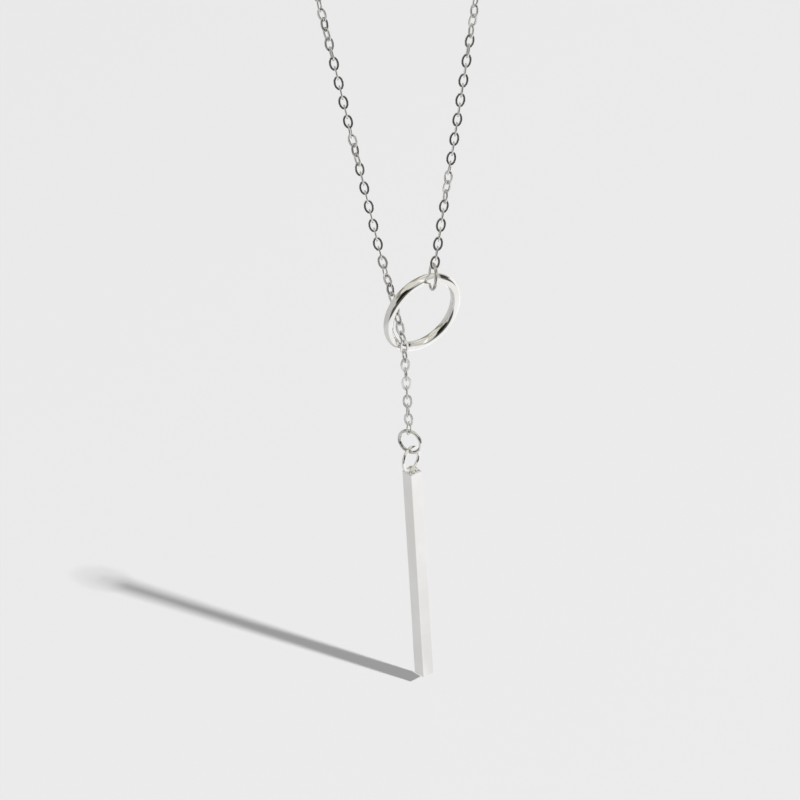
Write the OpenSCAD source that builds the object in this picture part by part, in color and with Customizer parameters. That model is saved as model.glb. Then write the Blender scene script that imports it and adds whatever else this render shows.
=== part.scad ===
// A lariat necklace of fine oval cable chain. One end carries a big ring on a
// round bail. The other end is threaded through that ring, lies over its wire
// and hangs on down to a square bar. It hangs closed, from the top of its loop.

/* [Chain] */
// Step from one link to the next
link_step = 1.36; // [1.2:0.02:1.6]
// Width of a link, outside
link_w = 1.3; // [1.25:0.05:1.5]
// Width of a link's wire, across the link's face
link_wire = 0.3; // [0.24:0.02:0.32]
// Thickness of a link, which is rolled flat on both faces
link_flat = 0.2; // [0.14:0.01:0.24]
// Gap between two wires that hang in each other
gap = 0.1; // [0.08:0.01:0.13]
// Number of links in the long run round the neck
neck_links = 306; // [240:1:400]
// Number of single links from the jump ring up to the one that lies on the ring
drop_links = 10; // [8:1:14]
// Number of single links above that one, on the threaded side
threaded_links = 10; // [9:1:12]
// Number of single links above the bail
strand_links = 6; // [3:1:8]
// Turn from one link of the drop to the next, beyond the quarter turn
drop_twist = 7; // [0:0.5:8]
// Turn from one threaded link to the next, beyond the quarter turn, within the ring
threaded_twist = 3; // [0:0.5:8]
// The same turn for the links above those
upper_twist = 14; // [8:0.5:16]
// Number of threaded links that take the first of these two turns
slow_links = 7; // [5:1:9]
// Lean of the threaded links to the left, from the vertical
threaded_lean = 10.4; // [8:0.1:12]
// Lean of the left strand above them, from the vertical
left_lean = 8.9; // [8:0.1:12]
// Lean of the right strand from the vertical
right_lean = 10.7; // [8:0.1:14]

/* [Ring] */
// Diameter of the big ring, outside
ring_d = 11.7; // [11.2:0.1:13]
// Thickness of the big ring's wire
ring_wire = 1.3; // [1:0.05:1.4]
// Turn of the ring's face from the front, about the vertical
ring_turn = 32; // [30:1:35]
// Lean of the ring's face below the level
ring_lean = 10.6; // [8:0.1:13]
// Place on the ring where the chain lies over it, anticlockwise from its right side
chain_at = 230; // [229:1:236]
// Place on the ring where its bail goes round it, anticlockwise from its right side
bail_at = 76; // [66:1:80]

/* [Bail] */
// Diameter of the bail, outside
bail_d = 3.75; // [3.6:0.05:4.2]
// Thickness of the bail's wire
bail_wire = 0.42; // [0.3:0.02:0.46]
// Turn of the bail's face from the side, about the right strand
bail_turn = 10; // [5:1:15]
// Place in the bail where the ring's wire lies, back from its lowest point
bail_seat = 50; // [0:1:55]

/* [Jump ring] */
// Diameter of the jump ring, outside
jump_d = 3.65; // [3.4:0.05:4.2]
// Thickness of the jump ring's wire
jump_wire = 0.46; // [0.36:0.02:0.5]

/* [Bar] */
// Length of the bar without its eye
bar_l = 32; // [24:0.5:45]
// Width of the bar, the same on its four sides
bar_w = 1.84; // [1.6:0.02:2.4]
// Turn of the bar's face from its eye's face
bar_turn = 13; // [0:1:45]
// Width of the small bevel round the bar's two ends
bar_bevel = 0.12; // [0.05:0.01:0.2]
// Diameter of the eye, outside
eye_d = 3.75; // [3.4:0.05:4.2]
// Thickness of the eye's wire
eye_wire = 0.48; // [0.4:0.02:0.54]
// How far the eye hangs off square to the jump ring
eye_slack = 8; // [0:1:12]
// How far the eye is sunk into the solder on the bar
eye_sink = 0.12; // [0.08:0.01:0.2]

/* [Hidden] */

// The threaded links' route: each one's lean to the back, from the ring's wire up.
// They pass from in front of the ring's lower wire to behind its upper wire.
back_leans = [0, 14, 14, 12, 6];

// Sides of a wire and of a bend, where they are drawn as facets
wire_fn = 24;
bend_fn = 48;
// The long run's stand-in has this many rings along it and sides round it
run_rings = 78;
run_sides = 8;

up = [0, 0, 1];
front_to_back = [0, 1, 0];
threaded_up = [-sin(threaded_lean), 0, cos(threaded_lean)];
left_dir = [-sin(left_lean), 0, cos(left_lean)];
right_dir = [sin(right_lean), 0, cos(right_lean)];

// A link's length follows from its step, its wire and the gap. Its eye is where
// the middle of its end's wire is, from the link's own middle, and its waist is where
// the middle of its side's wire is. Its ends are just wide enough for the jump ring.
link_l = link_step + 2 * link_wire + gap;
link_waist = (link_w - link_wire) / 2;
link_eye = link_l / 2 - link_wire / 2;
link_end_r = link_wire / 2 + jump_wire / 2 + gap * 0.4;
// The link's four arcs: two small ones at its ends and two large ones at its sides
link_end_at = link_eye - link_end_r;
end_to_waist = link_waist - link_end_r;
link_side_at = (link_end_at * link_end_at - end_to_waist * end_to_waist) / (2 * end_to_waist);
link_side_r = link_waist + link_side_at;
link_side_half = atan2(link_end_at, link_side_at);
// The sides are a hair thinner than the end bends, and run this many degrees into them
side_thinner = 0.006;
side_into_end = 1;

// The threaded end: the middle of the link that lies on the ring is the point
// that everything below is worked out from.
lie = [0, 0, 0];
left_top = threaded_foot(threaded_links + 1);

// The ring: its wire passes behind that link, a little below its middle. The links
// on both sides of that one stand on edge, and their bends hold the chain off the wire.
ring_r = (ring_d - ring_wire) / 2;
ring_axis = [sin(ring_turn) * cos(ring_lean), -cos(ring_turn) * cos(ring_lean), -sin(ring_lean)];
ring_side = [cos(ring_turn), sin(ring_turn), 0];
ring_up = cross(ring_axis, ring_side);
edge_reach = link_waist * 2 / 3;
ring_seat = ring_wire / 2 + link_wire / 2 + gap + edge_reach;
ring_drop = link_step * 0.3;
ring_centre = lie - up * ring_drop - ring_axis * ring_seat - ring_spoke(chain_at) * ring_r;

// The bail hangs in the lowest link of the right strand and holds the ring's wire,
// which crosses it at a slant, behind its middle, and so needs half as much play again.
bail_r = (bail_d - bail_wire) / 2;
bail_play = gap * 1.5;
bail_reach = bail_r - ring_wire / 2 - bail_wire / 2 - bail_play;
bail_centre = ring_centre + ring_spoke(bail_at) * ring_r
    + (right_dir * cos(bail_seat) - front_to_back * sin(bail_seat)) * bail_reach;
bail_top = bail_centre + right_dir * bail_r;
right_foot = bail_top + right_dir * (link_eye - link_step / 2 - bail_wire / 2 - link_wire / 2 - gap);
right_top = right_foot + right_dir * strand_links * link_step;

// The long run: two straight strands and one round bend over the nape that meets
// both. Each tail is the part of a strand below its top and above the strands' crossing.
neck_l = neck_links * link_step;
lean_sum = left_lean + right_lean;
tops = right_top - left_top;
left_tail = (tops[0] * cos(right_lean) - tops[2] * sin(right_lean)) / sin(lean_sum);
right_tail = (tops[0] * cos(left_lean) + tops[2] * sin(left_lean)) / sin(lean_sum);
bend_angle = 180 + lean_sum;
bend_r = (neck_l + left_tail + right_tail) / (2 / tan(lean_sum / 2) + bend_angle * PI / 180);
bend_l = bend_r * bend_angle * PI / 180;
left_run = bend_r / tan(lean_sum / 2) - left_tail;
bend_centre = left_top + left_dir * left_run + [cos(left_lean), 0, sin(left_lean)] * bend_r;
nape = [bend_centre[0], (left_top[1] + right_top[1]) / 2, bend_centre[2] + bend_r - link_w / 2];

// The pendant, from the lowest link down: the jump ring hangs square to that link
jump_r = (jump_d - jump_wire) / 2;
jump_turn = link_turn(1) - 90;
jump_centre = lie - up * ((drop_links - 1) * link_step + link_eye)
    + up * (link_wire / 2 + jump_wire / 2 + gap - jump_r);
eye_r = (eye_d - eye_wire) / 2;
eye_turn = jump_turn + 90 - eye_slack;
eye_centre = jump_centre + up * (jump_wire / 2 + eye_wire / 2 + gap - jump_r - eye_r);
bar_top = eye_centre - up * (eye_r + eye_wire / 2 - eye_sink);

function numbered(stem, k) = str(stem, k < 10 ? "0" : "", k);

function unit(v) = v / norm(v);

function ring_spoke(a) = ring_side * cos(a) + ring_up * sin(a);

// A link's turn about the chain: the one on the ring lies flat along the ring's face
function link_turn(k) =
    let (above = k - drop_links)
    ring_turn + above * 90 + (above < 0 ? above * drop_twist
        : min(above, slow_links) * threaded_twist + max(above - slow_links, 0) * upper_twist);

// A threaded link's direction, and the foot that it shares with the link below it
function threaded_dir(k) =
    let (back = k <= len(back_leans) ? back_leans[k - 1] : 0)
    threaded_up * cos(back) + front_to_back * sin(back);

function threaded_foot(k) =
    k == 1 ? lie + up * link_step / 2 : threaded_foot(k - 1) + threaded_dir(k - 1) * link_step;

// A point of the long run, at the distance s from its left foot. The two strands
// differ a little in depth, and that is shared out along the run.
function run_point(s) =
    let (a = 180 + left_lean - bend_angle * (s - left_run) / bend_l)
    let (flat = s < left_run ? left_top + left_dir * s
        : s < left_run + bend_l ? bend_centre + [cos(a), 0, sin(a)] * bend_r
        : right_top + right_dir * (neck_l - s))
    [flat[0], left_top[1] + tops[1] * s / neck_l, flat[2]];

// Everything hangs from the inside of the chain at the nape
module hung() {
    translate(-nape) children();
}

// Places what is drawn upright in the plane of X and Z, with its own Z along dir
// and its own X turned by a from level about dir
module stand(place, dir, a) {
    side = unit(cross(front_to_back, dir));
    x = side * cos(a) + cross(dir, side) * sin(a);
    y = cross(dir, x);
    multmatrix([
        [x[0], y[0], dir[0], place[0]],
        [x[1], y[1], dir[1], place[1]],
        [x[2], y[2], dir[2], place[2]],
        [0, 0, 0, 1]
    ]) children();
}

// A round ring of wire, upright in the plane of X and Z
module wire_ring(r, wire) {
    rotate([90, 0, 0])
        rotate_extrude($fn = bend_fn) translate([r, 0]) circle(d = wire, $fn = wire_fn);
}

// An arc of a link's wire in the plane of X and Z, round a centre on X or on Z. It
// reaches half of its sweep to each side of the direction at.
module link_arc(centre, r, at, half, thinner) {
    translate(centre) rotate([0, -at, 0]) rotate([90, 0, 0]) rotate([0, 0, -half])
        rotate_extrude(angle = 2 * half, $fn = bend_fn) translate([r, 0]) intersection() {
            circle(d = link_wire - thinner, $fn = wire_fn);
            square([link_wire, link_flat - thinner], center = true);
        }
}

// An oval link of four arcs, flat on both faces
module oval_link() {
    for (end = [-1, 1])
        link_arc([0, 0, end * link_end_at], link_end_r, end * 90, 90 - link_side_half, 0);
    for (side = [0, 1])
        link_arc([side * 2 * link_side_at - link_side_at, 0, 0], link_side_r, side * 180,
            link_side_half + side_into_end, side_thinner);
}

// A link of the threaded end, counted from the jump ring up
module link(k) {
    above = k - drop_links;
    dir = above < 1 ? up : threaded_dir(above);
    place = above < 1 ? lie + up * above * link_step : threaded_foot(above) + dir * link_step / 2;
    hung() color("silver") stand(place, unit(dir), link_turn(k)) oval_link();
}

// A link of the right strand, counted from the bail up
module strand_link(k) {
    place = right_foot + right_dir * (k - 0.5) * link_step;
    hung() color("silver") stand(place, right_dir, (k - 1) * 90) oval_link();
}

// The long run as one closed sweep as thick as the chain is wide. It starts and
// ends just clear of the single links, whose ends reach into it by the margin.
module neck_chain() {
    margin = (link_l - link_step) / 2 + gap;
    centres = [for (i = [0 : run_rings]) run_point(margin + (neck_l - 2 * margin) * i / run_rings)];
    points = [for (i = [0 : run_rings])
        let (dir = unit(centres[min(i + 1, run_rings)] - centres[max(i - 1, 0)]))
        let (side = unit(cross(dir, front_to_back)))
        for (j = [0 : run_sides - 1])
            let (a = 360 * j / run_sides)
            centres[i] + (side * cos(a) + cross(side, dir) * sin(a)) * link_w / 2];
    walls = [for (i = [0 : run_rings - 1], j = [0 : run_sides - 1])
        let (here = i * run_sides, next = (j + 1) % run_sides)
        for (tri = [[here + j, here + next, here + run_sides + next],
                    [here + j, here + run_sides + next, here + run_sides + j]])
            tri];
    foot = [for (j = [run_sides - 1 : -1 : 0]) j];
    head = [for (j = [0 : run_sides - 1]) run_rings * run_sides + j];
    hung() color("silver") polyhedron(points, concat(walls, [foot, head]), convexity = 4);
}

module ring() {
    hung() color("gainsboro") multmatrix([
        [ring_side[0], -ring_axis[0], ring_up[0], ring_centre[0]],
        [ring_side[1], -ring_axis[1], ring_up[1], ring_centre[1]],
        [ring_side[2], -ring_axis[2], ring_up[2], ring_centre[2]],
        [0, 0, 0, 1]
    ]) wire_ring(ring_r, ring_wire);
}

module ring_bail() {
    hung() color("silver") stand(bail_centre, right_dir, 90 + bail_turn) wire_ring(bail_r, bail_wire);
}

module jump_ring() {
    hung() color("silver") stand(jump_centre, up, jump_turn) wire_ring(jump_r, jump_wire);
}

// One side view of the bar, with its ends bevelled, as thick as the bar is wide
module bar_side() {
    half = bar_w / 2;
    rotate([90, 0, 0]) linear_extrude(bar_w, center = true) polygon([
        [-half, -bar_bevel],
        [-half + bar_bevel, 0],
        [half - bar_bevel, 0],
        [half, -bar_bevel],
        [half, bar_bevel - bar_l],
        [half - bar_bevel, -bar_l],
        [-half + bar_bevel, -bar_l],
        [-half, bar_bevel - bar_l]
    ]);
}

// The square bar with its eye soldered on top
module bar() {
    hung() color("gainsboro") {
        translate(bar_top) rotate([0, 0, eye_turn - bar_turn]) intersection() {
            bar_side();
            rotate([0, 0, 90]) bar_side();
        }
        stand(eye_centre, up, eye_turn) wire_ring(eye_r, eye_wire);
    }
}

for (k = [1 : drop_links + threaded_links])
    link(k);
for (k = [1 : strand_links])
    strand_link(k);
neck_chain();
ring();
ring_bail();
jump_ring();
bar();
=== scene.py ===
import math

import bmesh
import bpy
from mathutils import Matrix, Vector, noise


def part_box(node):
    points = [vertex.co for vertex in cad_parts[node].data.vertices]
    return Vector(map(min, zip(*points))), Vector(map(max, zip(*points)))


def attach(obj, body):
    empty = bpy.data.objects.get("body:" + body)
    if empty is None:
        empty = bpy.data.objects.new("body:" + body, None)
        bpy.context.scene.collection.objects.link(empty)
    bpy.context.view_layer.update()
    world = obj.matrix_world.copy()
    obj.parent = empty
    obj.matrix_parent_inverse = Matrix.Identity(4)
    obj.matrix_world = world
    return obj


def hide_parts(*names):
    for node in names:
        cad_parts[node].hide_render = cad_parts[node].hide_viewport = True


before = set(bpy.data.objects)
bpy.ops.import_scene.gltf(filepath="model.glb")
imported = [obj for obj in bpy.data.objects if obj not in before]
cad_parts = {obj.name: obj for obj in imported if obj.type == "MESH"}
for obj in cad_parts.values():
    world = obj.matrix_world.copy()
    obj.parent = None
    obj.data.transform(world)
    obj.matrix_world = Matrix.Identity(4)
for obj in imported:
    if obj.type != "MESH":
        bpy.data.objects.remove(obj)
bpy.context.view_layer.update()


# The fine cable chain. Each link is a bit of silver wire bent into an oval and soldered
# shut, and the finished chain is rolled, which leaves the links flat on both faces. Every
# link hangs square in the next one, and the chain twists a little as it hangs.
link_wire = 0.0003
link_flat = 0.0002
link_width = 0.0013
link_step = 0.00136
link_play = 0.0001
link_length = link_step + 2 * link_wire + link_play
chain_pale = (0.84, 0.835, 0.82, 1)
chain_dull = (0.62, 0.61, 0.59, 1)


class Socket:
    """A node tree's output socket. Sums and products of it add Math nodes to the tree."""

    def __init__(self, tree, socket=None):
        self.tree = tree
        self.socket = socket

    def node(self, kind, settings=None, inputs=None, output=0):
        """Adds a node, makes its settings, fills its inputs and gives one of its outputs."""
        made = self.tree.nodes.new(kind)
        for name, value in (settings or {}).items():
            if name == "stops":
                ramp = made.color_ramp.elements
                while len(ramp) < len(value):
                    ramp.new(1)
                for element, (place, colour) in zip(ramp, value):
                    element.position = place
                    element.color = colour
            else:
                setattr(made, name, value)
        for key, value in (inputs or {}).items():
            if isinstance(value, Socket):
                self.tree.links.new(value.socket, made.inputs[key])
            else:
                made.inputs[key].default_value = value
        return Socket(self.tree, made.outputs[output] if len(made.outputs) else None)

    def math(self, operation, *others):
        """A Math node on this value and the others, in that order."""
        return self.node("ShaderNodeMath", {"operation": operation}, dict(enumerate((self, *others))))

    def __add__(self, other):
        return self.math("ADD", other)

    def __radd__(self, other):
        return self.math("ADD", other)

    def __sub__(self, other):
        return self.math("SUBTRACT", other)

    def __rsub__(self, other):
        return self.node("ShaderNodeMath", {"operation": "SUBTRACT"}, {0: other, 1: self})

    def __mul__(self, other):
        return self.math("MULTIPLY", other)

    def __rmul__(self, other):
        return self.math("MULTIPLY", other)

    def __truediv__(self, other):
        return self.math("DIVIDE", other)

    def __gt__(self, other):
        return self.math("GREATER_THAN", other)


def ramp_up(value, low, high):
    """Nothing below the low value, one above the high one and smooth between them."""
    return value.node("ShaderNodeMapRange", {"interpolation_type": "SMOOTHSTEP"},
                      {0: value, 1: low, 2: high})


def blended(share, colour, other, blend="MIX"):
    """This share of the other colour, laid over the first one or multiplied with it."""
    return share.node("ShaderNodeMix", {"data_type": "RGBA", "blend_type": blend},
                      {0: share, 6: colour, 7: other}, 2)


def polished_silver(name, pale, deep, gloss, patch_size, scuff):
    """Bright silver that is cloudier and warmer in patches, with fine polishing marks."""
    cloud_starts = 0.38
    cloud_full = 0.68
    marks_in_patch = 9
    cloud_haze = 0.7
    mark_haze = 0.6
    waviness = 3
    material = bpy.data.materials.new(name)
    material.use_nodes = True
    material.node_tree.nodes.clear()
    sheet = Socket(material.node_tree)
    place = sheet.node("ShaderNodeTexCoord", output="Object")
    patches = sheet.node("ShaderNodeTexNoise", None, {
        "Vector": place, "Scale": 1 / patch_size, "Detail": 3.0, "Roughness": 0.6})
    marks = sheet.node("ShaderNodeTexNoise", None, {
        "Vector": place, "Scale": marks_in_patch / patch_size, "Detail": 2.0, "Roughness": 0.7})
    cloud = ramp_up(patches, cloud_starts, cloud_full)
    rough = gloss + cloud * (gloss * cloud_haze) + marks * (gloss * mark_haze)
    relief = sheet.node("ShaderNodeBump", None, {
        "Strength": 1.0, "Distance": scuff, "Height": marks + patches * waviness}, "Normal")
    shader = sheet.node("ShaderNodeBsdfPrincipled", None, {
        "Base Color": blended(cloud, pale, deep), "Metallic": 1.0, "Roughness": rough, "Normal": relief})
    sheet.node("ShaderNodeOutputMaterial", None, {"Surface": shader})
    return material


def start_tree(name, inputs):
    """A geometry tree with these named inputs, and a function that gives each of them."""
    tree = bpy.data.node_groups.new(name, "GeometryNodeTree")
    for label, kind in inputs.items():
        tree.interface.new_socket(label, in_out="INPUT", socket_type="NodeSocket" + kind)
    tree.interface.new_socket("Made", in_out="OUTPUT", socket_type="NodeSocketGeometry")
    sheet = Socket(tree)
    return sheet, lambda label: sheet.node("NodeGroupInput", output=label)


def finish_tree(sheet, shape, finish):
    """Realizes what was made and gives it its material, as the tree's last two steps."""
    real = sheet.node("GeometryNodeRealizeInstances", None, {"Geometry": shape})
    faced = sheet.node("GeometryNodeSetMaterial", None, {"Geometry": real, "Material": finish})
    sheet.node("NodeGroupOutput", None, {"Made": faced})
    return sheet.tree


def make_piece(name, tree, start_mesh, sizes):
    """Runs the tree on a mesh and keeps the result as a plain mesh in an object at the origin."""
    holder = bpy.data.objects.new(name + "_start", start_mesh)
    bpy.context.scene.collection.objects.link(holder)
    modifier = holder.modifiers.new("make", "NODES")
    modifier.node_group = tree
    for item in tree.interface.items_tree:
        if item.in_out == "INPUT" and item.name in sizes:
            modifier[item.identifier] = sizes[item.name]
    graph = bpy.context.evaluated_depsgraph_get()
    mesh = bpy.data.meshes.new_from_object(holder.evaluated_get(graph), depsgraph=graph)
    mesh.name = name
    holder.modifiers.remove(modifier)
    bpy.data.objects.remove(holder)
    piece = bpy.data.objects.new(name, mesh)
    bpy.context.scene.collection.objects.link(piece)
    return piece


def parts_of(vector):
    """The X, Y and Z of a vector."""
    return [vector.node("ShaderNodeSeparateXYZ", None, {0: vector}, axis) for axis in "XYZ"]


def oval_links_tree():
    """One oval link on each edge of a route, standing along it and turned about it."""
    flat_facing = 0.95
    sheet, given = start_tree("oval_links", {
        "Route": "Geometry", "Link Length": "Float", "Link Width": "Float", "Wire": "Float",
        "Flat": "Float", "Steps": "Int", "Wire Sides": "Int", "Finish": "Material"})
    steps = given("Steps")
    angle = sheet.node("GeometryNodeInputIndex") * (2 * math.pi) / steps
    across = angle.math("COSINE") * (given("Link Width") - given("Wire")) / 2
    along = angle.math("SINE") * (given("Link Length") - given("Wire")) / 2
    spot = sheet.node("ShaderNodeCombineXYZ", None, {"X": across, "Y": along})
    row = sheet.node("GeometryNodeMeshLine", None, {"Count": steps})
    path = sheet.node("GeometryNodeMeshToCurve", None, {"Mesh": row})
    path = sheet.node("GeometryNodeSetPosition", None, {"Geometry": path, "Position": spot})
    path = sheet.node("GeometryNodeSetSplineCyclic", None, {"Geometry": path, "Cyclic": True})
    path = sheet.node("GeometryNodeSetCurveNormal", {"mode": "Z_UP"}, {"Curve": path})
    section = sheet.node("GeometryNodeCurvePrimitiveCircle", None,
                         {"Resolution": given("Wire Sides"), "Radius": given("Wire") / 2})
    round_x, round_y, round_z = parts_of(sheet.node("GeometryNodeInputPosition"))
    spread = (round_x / given("Wire") * math.pi).math("SINE") * given("Wire") / 2
    half_flat = given("Flat") / 2
    rolled = round_y.math("MINIMUM", half_flat).math("MAXIMUM", half_flat * -1)
    rolled_spot = sheet.node("ShaderNodeCombineXYZ", None, {"X": spread, "Y": rolled, "Z": round_z})
    section = sheet.node("GeometryNodeSetPosition", None, {"Geometry": section, "Position": rolled_spot})
    link = sheet.node("GeometryNodeCurveToMesh", None, {"Curve": path, "Profile Curve": section})
    link = sheet.node("GeometryNodeSetShadeSmooth", None, {"Geometry": link})
    facing = parts_of(sheet.node("GeometryNodeInputNormal"))[2]
    link = sheet.node("GeometryNodeSetShadeSmooth", None, {
        "Geometry": link, "Selection": facing.math("ABSOLUTE") > flat_facing, "Shade Smooth": False})
    heading = sheet.node("GeometryNodeInputNamedAttribute", {"data_type": "FLOAT_VECTOR"},
                         {"Name": "along"})
    turn = sheet.node("GeometryNodeInputNamedAttribute", {"data_type": "FLOAT"}, {"Name": "turn"})
    upright = sheet.node("FunctionNodeAxesToRotation", {"primary_axis": "Y", "secondary_axis": "Z"},
                         {"Primary Axis": heading, "Secondary Axis": (0, 1, 0)})
    twist = sheet.node("FunctionNodeAxisAngleToRotation", None, {"Axis": (0, 1, 0), "Angle": turn})
    stance = sheet.node("FunctionNodeRotateRotation", {"rotation_space": "LOCAL"},
                        {"Rotation": upright, "Rotate By": twist})
    middles = sheet.node("GeometryNodeMeshToPoints", {"mode": "EDGES"}, {"Mesh": given("Route")})
    links = sheet.node("GeometryNodeInstanceOnPoints", None,
                       {"Points": middles, "Instance": link, "Rotation": stance})
    return finish_tree(sheet, links, given("Finish"))


def chain_route(name, feet, turns):
    """The line of feet that a stretch of chain follows, with each link's heading and turn."""
    mesh = bpy.data.meshes.new(name)
    mesh.from_pydata(feet, [(k, k + 1) for k in range(len(feet) - 1)], [])
    headings = [value for low, high in zip(feet, feet[1:]) for value in (high - low).normalized()]
    mesh.attributes.new("along", "FLOAT_VECTOR", "EDGE").data.foreach_set("vector", headings)
    angles = [math.radians(turn) for turn in turns]
    mesh.attributes.new("turn", "FLOAT", "EDGE").data.foreach_set("value", angles)
    return mesh


def make_links(name, feet, turns, steps, wire_sides):
    """A stretch of chain with one link between each foot and the next."""
    return make_piece(name, oval_links, chain_route(name, feet, turns), {
        "Link Length": link_length, "Link Width": link_width, "Wire": link_wire, "Flat": link_flat,
        "Steps": steps, "Wire Sides": wire_sides, "Finish": chain_silver})


def middle(node):
    """The middle of a CAD node's box."""
    low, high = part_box(node)
    return (low + high) / 2


def feet_through(names, first_foot):
    """The feet of these links, each as far past its link's middle as the foot before it."""
    feet = [first_foot]
    for name in names:
        feet.append(2 * middle(name) - feet[-1])
    return feet


oval_links = oval_links_tree()
chain_silver = polished_silver("chain_silver", chain_pale, chain_dull,
                               gloss=0.07, patch_size=0.0011, scuff=2e-6)

# The threaded end: twenty links of the same chain, that rise from the jump ring to the
# link that lies on the big ring, and from there through the ring and on up. They twist
# evenly up to the big ring, then slowly, and faster at the top.
drop_links = 10
threaded_links = 10
quarter_turn = 90
lie_turn = 32
drop_twist = 7
threaded_twist = 3
upper_twist = 14
slow_links = 7
near_steps = 24
near_sides = 12


def threaded_turn(k):
    """The turn, in degrees, of the link that is k links above the one on the big ring."""
    if k < 0:
        twist = k * drop_twist
    else:
        twist = min(k, slow_links) * threaded_twist + max(k - slow_links, 0) * upper_twist
    return lie_turn + k * quarter_turn + twist


link_names = ["link_%02d" % (k + 1) for k in range(drop_links + threaded_links)]
threaded_feet = feet_through(link_names, middle(link_names[0]) - Vector((0, 0, link_step / 2)))
threaded_turns = [threaded_turn(k) for k in range(1 - drop_links, threaded_links + 1)]
threaded_chain = make_links("threaded_chain", threaded_feet, threaded_turns, near_steps, near_sides)
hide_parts(*link_names)
threaded_chain.visible_shadow = False
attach(threaded_chain, "root")

# The stretch above the bail: six more links of the same chain, at the foot of the right
# side. The weight of the ring pulls them straight, and they don't twist.
strand_links = 6
strand_names = ["strand_link_%02d" % (k + 1) for k in range(strand_links)]
right_up = (middle(strand_names[-1]) - middle(strand_names[0])).normalized()
strand_feet = feet_through(strand_names, middle(strand_names[0]) - right_up * link_step / 2)
strand_turns = [k * quarter_turn for k in range(strand_links)]
bail_strand = make_links("bail_strand", strand_feet, strand_turns, near_steps, near_sides)
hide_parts(*strand_names)
bail_strand.visible_shadow = False
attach(bail_strand, "root")

# The long run round the neck: 306 links up the left side, round the nape in one bend
# and down the right side. It twists about a quarter turn in five places, each given by
# its first and last link and its turn.
neck_links = 306
neck_twists = [(7, 15, 90), (18, 30, 90), (150, 170, 85), (280, 292, 90), (300, 307, 90)]
far_steps = 12
far_sides = 6
left_lean = math.radians(8.9)
left_up = Vector((-math.sin(left_lean), 0, math.cos(left_lean)))
right_lean = math.atan2(right_up.x, right_up.z)
left_top = threaded_feet[-1]
right_top = strand_feet[-1]
tops = right_top - left_top
lean_sum = left_lean + right_lean
# Drawn on downwards, both sides meet in one point. A tail is how far a side's top is from it.
left_tail = (tops.x * math.cos(right_lean) - tops.z * math.sin(right_lean)) / math.sin(lean_sum)
right_tail = (tops.x * math.cos(left_lean) + tops.z * math.sin(left_lean)) / math.sin(lean_sum)
bend_angle = math.pi + lean_sum
neck_length = neck_links * link_step
bend_radius = (neck_length + left_tail + right_tail) / (2 / math.tan(lean_sum / 2) + bend_angle)
left_run = bend_radius / math.tan(lean_sum / 2) - left_tail
bend_run = bend_radius * bend_angle
bend_middle = left_top + left_up * left_run
bend_middle += Vector((math.cos(left_lean), 0, math.sin(left_lean))) * bend_radius


def neck_foot(gone):
    """The foot that is this far along the run, from the top of the threaded end."""
    if gone < left_run:
        foot = left_top + left_up * gone
    elif gone < left_run + bend_run:
        angle = math.pi + left_lean - (gone - left_run) / bend_radius
        foot = bend_middle + Vector((math.cos(angle), 0, math.sin(angle))) * bend_radius
    else:
        foot = right_top + right_up * (neck_length - gone)
    foot.y = left_top.y + tops.y * gone / neck_length
    return foot


def neck_turn(k):
    """The turn, in degrees, of the link that is k links above the top of the threaded end."""
    turn = threaded_turns[-1] + k * quarter_turn
    for first, last, amount in neck_twists:
        share = min(max((k - first) / (last - first), 0), 1)
        turn += amount * share * share * (3 - 2 * share)
    return turn


neck_feet = [neck_foot(k * link_step) for k in range(neck_links + 1)]
neck_turns = [neck_turn(k) for k in range(1, neck_links + 1)]
neck_run = make_links("neck_run", neck_feet, neck_turns, far_steps, far_sides)
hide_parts("neck_chain")
neck_run.visible_shadow = False
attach(neck_run, "root")


# The big ring: thick round silver wire bent into a circle, soldered shut, filed flush
# and given a mirror polish. The chain is threaded through it.
ring_radius = 0.0052
ring_wire = 0.0013
ring_turn = math.radians(32)
ring_lean = math.radians(10.6)
ring_steps = 160
ring_sides = 40
ring_pale = (0.955, 0.95, 0.935, 1)
ring_warm = (0.90, 0.885, 0.85, 1)


def wire_ring_tree():
    """A closed ring of round wire, flat in the plane of X and Y."""
    sheet, given = start_tree("wire_ring", {
        "Start": "Geometry", "Radius": "Float", "Wire": "Float",
        "Steps": "Int", "Wire Sides": "Int", "Finish": "Material"})
    path = sheet.node("GeometryNodeCurvePrimitiveCircle", None,
                      {"Resolution": given("Steps"), "Radius": given("Radius")})
    section = sheet.node("GeometryNodeCurvePrimitiveCircle", None,
                         {"Resolution": given("Wire Sides"), "Radius": given("Wire") / 2})
    ring = sheet.node("GeometryNodeCurveToMesh", None, {"Curve": path, "Profile Curve": section})
    ring = sheet.node("GeometryNodeSetShadeSmooth", None, {"Geometry": ring})
    return finish_tree(sheet, ring, given("Finish"))


def make_ring(name, radius, wire, steps, sides, finish, place, axis):
    """A wire ring round this axis, with its middle at this place."""
    piece = make_piece(name, wire_ring, bpy.data.meshes.new(name + "_start"), {
        "Radius": radius, "Wire": wire, "Steps": steps, "Wire Sides": sides, "Finish": finish})
    turned = axis.to_track_quat("Z", "Y").to_matrix().to_4x4()
    piece.data.transform(Matrix.Translation(place) @ turned)
    return piece


wire_ring = wire_ring_tree()
ring_silver = polished_silver("ring_silver", ring_pale, ring_warm,
                              gloss=0.035, patch_size=0.004, scuff=1.5e-6)
ring_axis = Vector((math.sin(ring_turn) * math.cos(ring_lean),
                    -math.cos(ring_turn) * math.cos(ring_lean), -math.sin(ring_lean)))
big_ring = make_ring("big_ring", ring_radius, ring_wire, ring_steps, ring_sides,
                     ring_silver, middle("ring"), ring_axis)
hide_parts("ring")
big_ring.visible_shadow = False
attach(big_ring, "root")


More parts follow.
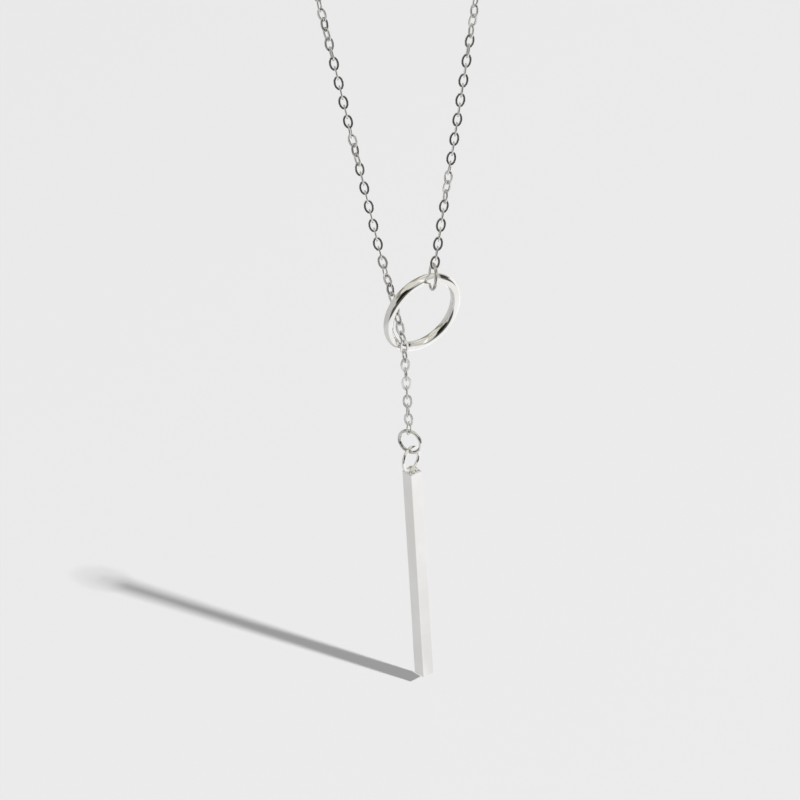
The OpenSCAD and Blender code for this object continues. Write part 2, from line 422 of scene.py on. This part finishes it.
# The bail: a small ring of thinner silver wire that joins the big ring to the lowest
# link of the right side. It is soldered shut and polished with the ring.
bail_radius = 0.001665
bail_wire = 0.00042
bail_turn = math.radians(10)
small_ring_steps = 72
small_ring_sides = 20
small_ring_pale = (0.92, 0.91, 0.885, 1)
small_ring_dark = (0.36, 0.335, 0.30, 1)
small_ring_silver = polished_silver("small_ring_silver", small_ring_pale, small_ring_dark,
                                    gloss=0.05, patch_size=0.0009, scuff=2e-6)
bail_side = Vector((0, 1, 0)).cross(right_up).normalized()
bail_front = right_up.cross(bail_side)
bail_across = bail_front * math.cos(bail_turn) - bail_side * math.sin(bail_turn)
bail_loop = make_ring("bail_loop", bail_radius, bail_wire, small_ring_steps, small_ring_sides,
                      small_ring_silver, middle("ring_bail"), right_up.cross(bail_across))
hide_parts("ring_bail")
bail_loop.visible_shadow = False
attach(bail_loop, "root")


# The jump ring: round silver wire bent into a small ring and closed, which links the
# chain's lowest link to the eye of the bar and swings in both.
jump_radius = 0.001595
jump_wire = 0.00046
jump_turn = math.radians(-31)
jump_axis = Vector((-math.sin(jump_turn), math.cos(jump_turn), 0))
jump_loop = make_ring("jump_loop", jump_radius, jump_wire, small_ring_steps, small_ring_sides,
                      small_ring_silver, middle("jump_ring"), jump_axis)
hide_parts("jump_ring")
jump_loop.visible_shadow = False
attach(jump_loop, "jump_ring")


# The bar: a square length of drawn silver, sawn, filed and polished to flat faces and
# crisp edges. Its eye is a wire ring stood on the bar's end in a small bead of solder.
bar_length = 0.032
bar_width = 0.00184
bar_turn = math.radians(38)
edge_round = 0.00012
end_round = 0.00012
eye_radius = 0.001635
eye_wire = 0.00048
eye_sink = 0.00012
eye_turn = math.radians(51)
bead_size = (0.00098, 0.00084, 0.0005)
bead_fill = 0.88
bead_lump_size = 0.00035
bead_lump_height = 0.3
bar_pale = (0.965, 0.96, 0.95, 1)
bar_warm = (0.93, 0.915, 0.89, 1)
bar_silver = polished_silver("bar_silver", bar_pale, bar_warm,
                             gloss=0.06, patch_size=0.006, scuff=1.5e-6)
bar_low, bar_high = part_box("bar")
bar_middle = (bar_low + bar_high) / 2
bar_top = Vector((bar_middle.x, bar_middle.y, bar_low.z + bar_length))
eye_middle = bar_top + Vector((0, 0, eye_radius + eye_wire / 2 - eye_sink))
eye_axis = Vector((-math.sin(eye_turn), math.cos(eye_turn), 0))


def square_bar():
    """The bar on its own, with its long edges and its ends rounded a little."""
    shape = bmesh.new()
    bmesh.ops.create_cube(shape, size=1)
    bmesh.ops.scale(shape, verts=shape.verts, vec=(bar_width, bar_width, bar_length))
    long_edges = [e for e in shape.edges if abs(e.verts[0].co.z - e.verts[1].co.z) > bar_width]
    bmesh.ops.bevel(shape, geom=long_edges, offset=edge_round, segments=3, profile=0.5, affect="EDGES")
    end_edges = [e for e in shape.edges if abs(e.verts[0].co.z - e.verts[1].co.z) < edge_round]
    bmesh.ops.bevel(shape, geom=end_edges, offset=end_round, segments=3, profile=0.5, affect="EDGES")
    for face in shape.faces:
        face.smooth = face.calc_area() < bar_width * bar_width / 2
    shape.transform(Matrix.Translation(bar_top - Vector((0, 0, bar_length / 2)))
                    @ Matrix.Rotation(bar_turn, 4, "Z"))
    return shape


def solder_bead(shape):
    """A low lumpy mound under the eye, longer along the eye's own wire."""
    bead = bmesh.ops.create_uvsphere(shape, u_segments=48, v_segments=24, radius=1)["verts"]
    for vert in bead:
        spot = Vector(axis * size / bead_lump_size for axis, size in zip(vert.co, bead_size))
        vert.co *= bead_fill + bead_lump_height * noise.noise(spot)
    bmesh.ops.scale(shape, verts=bead, vec=bead_size)
    bmesh.ops.rotate(shape, verts=bead, matrix=Matrix.Rotation(eye_turn, 3, "Z"))
    bmesh.ops.translate(shape, verts=bead, vec=bar_top)
    for face in {face for vert in bead for face in vert.link_faces}:
        face.smooth = True


bar_shape = square_bar()
solder_bead(bar_shape)
eye = make_ring("eye", eye_radius, eye_wire, small_ring_steps, small_ring_sides,
                bar_silver, eye_middle, eye_axis)
bar_shape.from_mesh(eye.data)
bpy.data.objects.remove(eye)
bar_mesh = bpy.data.meshes.new("square_bar")
bar_shape.to_mesh(bar_mesh)
bar_shape.free()
bar_mesh.materials.append(bar_silver)
square_bar_piece = bpy.data.objects.new("square_bar", bar_mesh)
bpy.context.scene.collection.objects.link(square_bar_piece)
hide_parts("bar")
square_bar_piece.visible_diffuse = False
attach(square_bar_piece, "bar")


# The table under the bar's foot: plain pale card with a faint sheen. Seen directly it has
# one tone. The silver reflects it with painted light and shade: a tone lifted as a painted sheen and
# dimmed as painted shade in stretches between two angles from the front, by one amount at the foot and
# another one far off.
hover = 0.00135
table_half = 4.0
table_level = bar_low.z - hover
table_pale = (0.663, 0.662, 0.664, 1)
# A painted sheen: the table's tone in reflections is lifted by this much.
painted_sheen_lift = 1.25
table_mesh = bpy.data.meshes.new("table")
table_corners = [(x * table_half, y * table_half, table_level)
                 for x, y in ((-1, -1), (1, -1), (1, 1), (-1, 1))]
table_mesh.from_pydata(table_corners, [], [(0, 1, 2, 3)])
table = bpy.data.objects.new("table", table_mesh)
bpy.context.scene.collection.objects.link(table)


def between(value, low, high, soft):
    """One where the value is well between the two, and nothing outside them."""
    risen = ramp_up(value, low - soft, low + soft)
    return risen * (1 - ramp_up(value, high - soft, high + soft))


def turn_from_front(x, y):
    """The angle round the pendant from the front, in degrees, with the right side positive."""
    return x.math("ARCTAN2", y * -1) * (180 / math.pi)


def dimmed(colour, value):
    """The colour with its red, green and blue all multiplied by this value."""
    grey = value.node("ShaderNodeCombineColor", None, {0: value, 1: value, 2: value})
    return value.node("ShaderNodeMix", {"data_type": "RGBA", "blend_type": "MULTIPLY"},
                      {0: 1.0, 6: colour, 7: grey}, 2)


card = bpy.data.materials.new("pale_card")
card.use_nodes = True
card.node_tree.nodes.clear()
card_sheet = Socket(card.node_tree)
spot_x, spot_y = parts_of(card_sheet.node("ShaderNodeNewGeometry", output="Position"))[:2]
out_x, out_y = spot_x - bar_middle.x, spot_y - bar_middle.y
card_turn = turn_from_front(out_x, out_y)
card_reach = (out_x * out_x + out_y * out_y).math("SQRT")


def left_by_painted_shade(first, last, soft, at_foot, far_off, reach):
    """The share of the table's reflected tone that a stretch of painted shade leaves, with the reach
    where it changes.
    """
    painted_dimming = at_foot + ramp_up(card_reach, *reach) * (far_off - at_foot)
    return 1 - between(card_turn, first, last, soft) * painted_dimming


# Painted shade on the table as the silver sees it: each stretch dims the reflected tone.
reflected_painted_shade = left_by_painted_shade(first=-20, last=48, soft=5, at_foot=0, far_off=0.92, reach=(0.082, 0.108))
reflected_painted_shade *= left_by_painted_shade(first=44, last=60, soft=4, at_foot=0, far_off=0.8, reach=(0.11, 0.15))
reflected_painted_shade *= left_by_painted_shade(first=80, last=106, soft=5, at_foot=0, far_off=0.95, reach=(0.11, 0.15))
reflected_painted_shade *= left_by_painted_shade(first=-5, last=62, soft=8, at_foot=0.14, far_off=0.14, reach=(0.11, 0.15))
reflected_painted_shade *= left_by_painted_shade(first=62, last=110, soft=10, at_foot=0.25, far_off=0.13, reach=(0, 0.05))
reflected_painted_shade *= left_by_painted_shade(first=-165, last=-8, soft=8, at_foot=0.416, far_off=0.496, reach=(0.07, 0.12))
direct = card_sheet.node("ShaderNodeLightPath", output="Is Camera Ray")
# Camera rays see the plain tone; all other rays see the painted shade, lifted by the painted sheen.
card_colour = dimmed(table_pale, direct + (1 - direct) * reflected_painted_shade * painted_sheen_lift)
card_shader = card_sheet.node("ShaderNodeBsdfPrincipled", None, {
    "Base Color": card_colour, "Roughness": 0.5, "Specular IOR Level": 0.5})
card_sheet.node("ShaderNodeOutputMaterial", None, {"Surface": card_shader})
table_mesh.materials.append(card)


# The studio: one small sun from the right that draws the bar's shadow and isn't reflected.
# The silver reflects a soft room with pale walls and a warm ceiling, a window on the right,
# a dark stretch in front and one on the right, a brown rail on the left and a corner behind.
sun_towards = Vector((1.351, -0.928, 1.06))
sun_strength = 4.65
sun_width = math.radians(2.8)
room_fill = (0.485, 0.485, 0.49, 1)
backdrop_pale = (0.82, 0.82, 0.82, 1)
window_pale = (1.06, 1.06, 1.04, 1)
rail_brown = (0.42, 0.40, 0.36, 1)
corner_brown = (0.50, 0.48, 0.42, 1)
wall_tones = [(0, (0.55, 0.55, 0.54, 1)), (28.8, (0.56, 0.56, 0.54, 1)),
              (46.8, (0.78, 0.76, 0.68, 1)), (72, (0.70, 0.69, 0.63, 1))]
rail_level = 42
rail_bend = 110
rail_under = 8
rail_over = 7
side_level = 27
side_bend = 120
side_dark = 0.92
side_foot_level = 20
side_foot_turn = 135
side_foot_slope = 1.08
front_level = 48
front_dark = 0.98
front_foot_level = -4
front_left_slope = 0.9
front_right_slope = 0.5
bend_droop = 0.02
sun_light = bpy.data.lights.new("sun", "SUN")
sun_light.energy = sun_strength
sun_light.angle = sun_width
sun = bpy.data.objects.new("sun", sun_light)
sun.rotation_euler = sun_towards.to_track_quat("Z", "Y").to_euler()
sun.visible_glossy = False
bpy.context.scene.collection.objects.link(sun)


def droop(past):
    """How far an edge of the room has sunk, by the angle past where it starts to sink."""
    return past.math("MAXIMUM", 0).math("POWER", 2) * bend_droop


world = bpy.data.worlds.new("studio")
world.use_nodes = True
world.node_tree.nodes.clear()
room = Socket(world.node_tree)
look_x, look_y, look_z = parts_of(room.node("ShaderNodeTexCoord", output="Generated"))
room_turn = turn_from_front(look_x, look_y)
to_right = room_turn.math("MAXIMUM", 0)
to_left = (room_turn * -1).math("MAXIMUM", 0)
height = look_z.math("ARCSINE") * (180 / math.pi)
wall_stops = [(degrees / 180 + 0.5, colour) for degrees, colour in wall_tones]
walls = room.node("ShaderNodeValToRGB", {"stops": wall_stops}, {0: height / 180 + 0.5})
rail_height = rail_level - droop(to_left - rail_bend)
rail = between(room_turn, low=-168, high=-26, soft=6)
rail *= between(height, rail_height - rail_under, rail_height + rail_over, soft=4)
corner = ramp_up(to_left, low=148, high=156) * between(height, low=-22, high=75, soft=6)
side_top = side_level - droop(side_bend - to_right)
side_foot = side_foot_level - (side_foot_turn - to_right) * side_foot_slope
side = between(room_turn, low=82, high=138, soft=6) * between(height, side_foot, side_top, soft=4)
front_foot = front_foot_level + to_left * front_left_slope - to_right * front_right_slope
front = between(room_turn, low=-26, high=42, soft=6)
front *= between(height, front_foot, front_level - to_right, soft=5)
window = between(room_turn, low=50, high=59, soft=4) * between(height, low=8, high=75, soft=8)
furnished = blended(corner, blended(rail, walls, rail_brown, "MULTIPLY"), corner_brown, "MULTIPLY")
darkened = dimmed(furnished, (1 - front * front_dark) * (1 - side * side_dark))
lit = blended(window, darkened, window_pale)
filled = blended(room.node("ShaderNodeLightPath", output="Is Diffuse Ray"), lit, room_fill)
shown = blended(room.node("ShaderNodeLightPath", output="Is Camera Ray"), filled, backdrop_pale)
backdrop = room.node("ShaderNodeBackground", None, {"Color": shown})
room.node("ShaderNodeOutputWorld", None, {"Surface": backdrop})
bpy.context.scene.world = world
bpy.context.scene.view_settings.view_transform = "Standard"

# The camera looks down at the pendant from the front, held a little askew. The middle of
# its picture is given from the link that lies on the big ring.
camera_down = math.radians(30)
camera_askew = math.radians(3.586)
camera_distance = 0.5
camera_lens = 173.1
target_from_link = Vector((-0.00097, 0, -0.00788))
camera_target = middle("link_10") + target_from_link
forward = Vector((0, math.cos(camera_down), -math.sin(camera_down)))
level_right = Vector((1, 0, 0))
level_up = level_right.cross(forward)
right = level_right * math.cos(camera_askew) - level_up * math.sin(camera_askew)
up = level_right * math.sin(camera_askew) + level_up * math.cos(camera_askew)
lens = bpy.data.cameras.new("camera")
lens.lens = camera_lens
lens.sensor_width = 36
lens.clip_start = 0.01
camera = bpy.data.objects.new("camera", lens)
stance = Matrix((right, up, -forward)).transposed().to_4x4()
camera.matrix_world = Matrix.Translation(camera_target - forward * camera_distance) @ stance
bpy.context.scene.collection.objects.link(camera)
bpy.context.scene.camera = camera
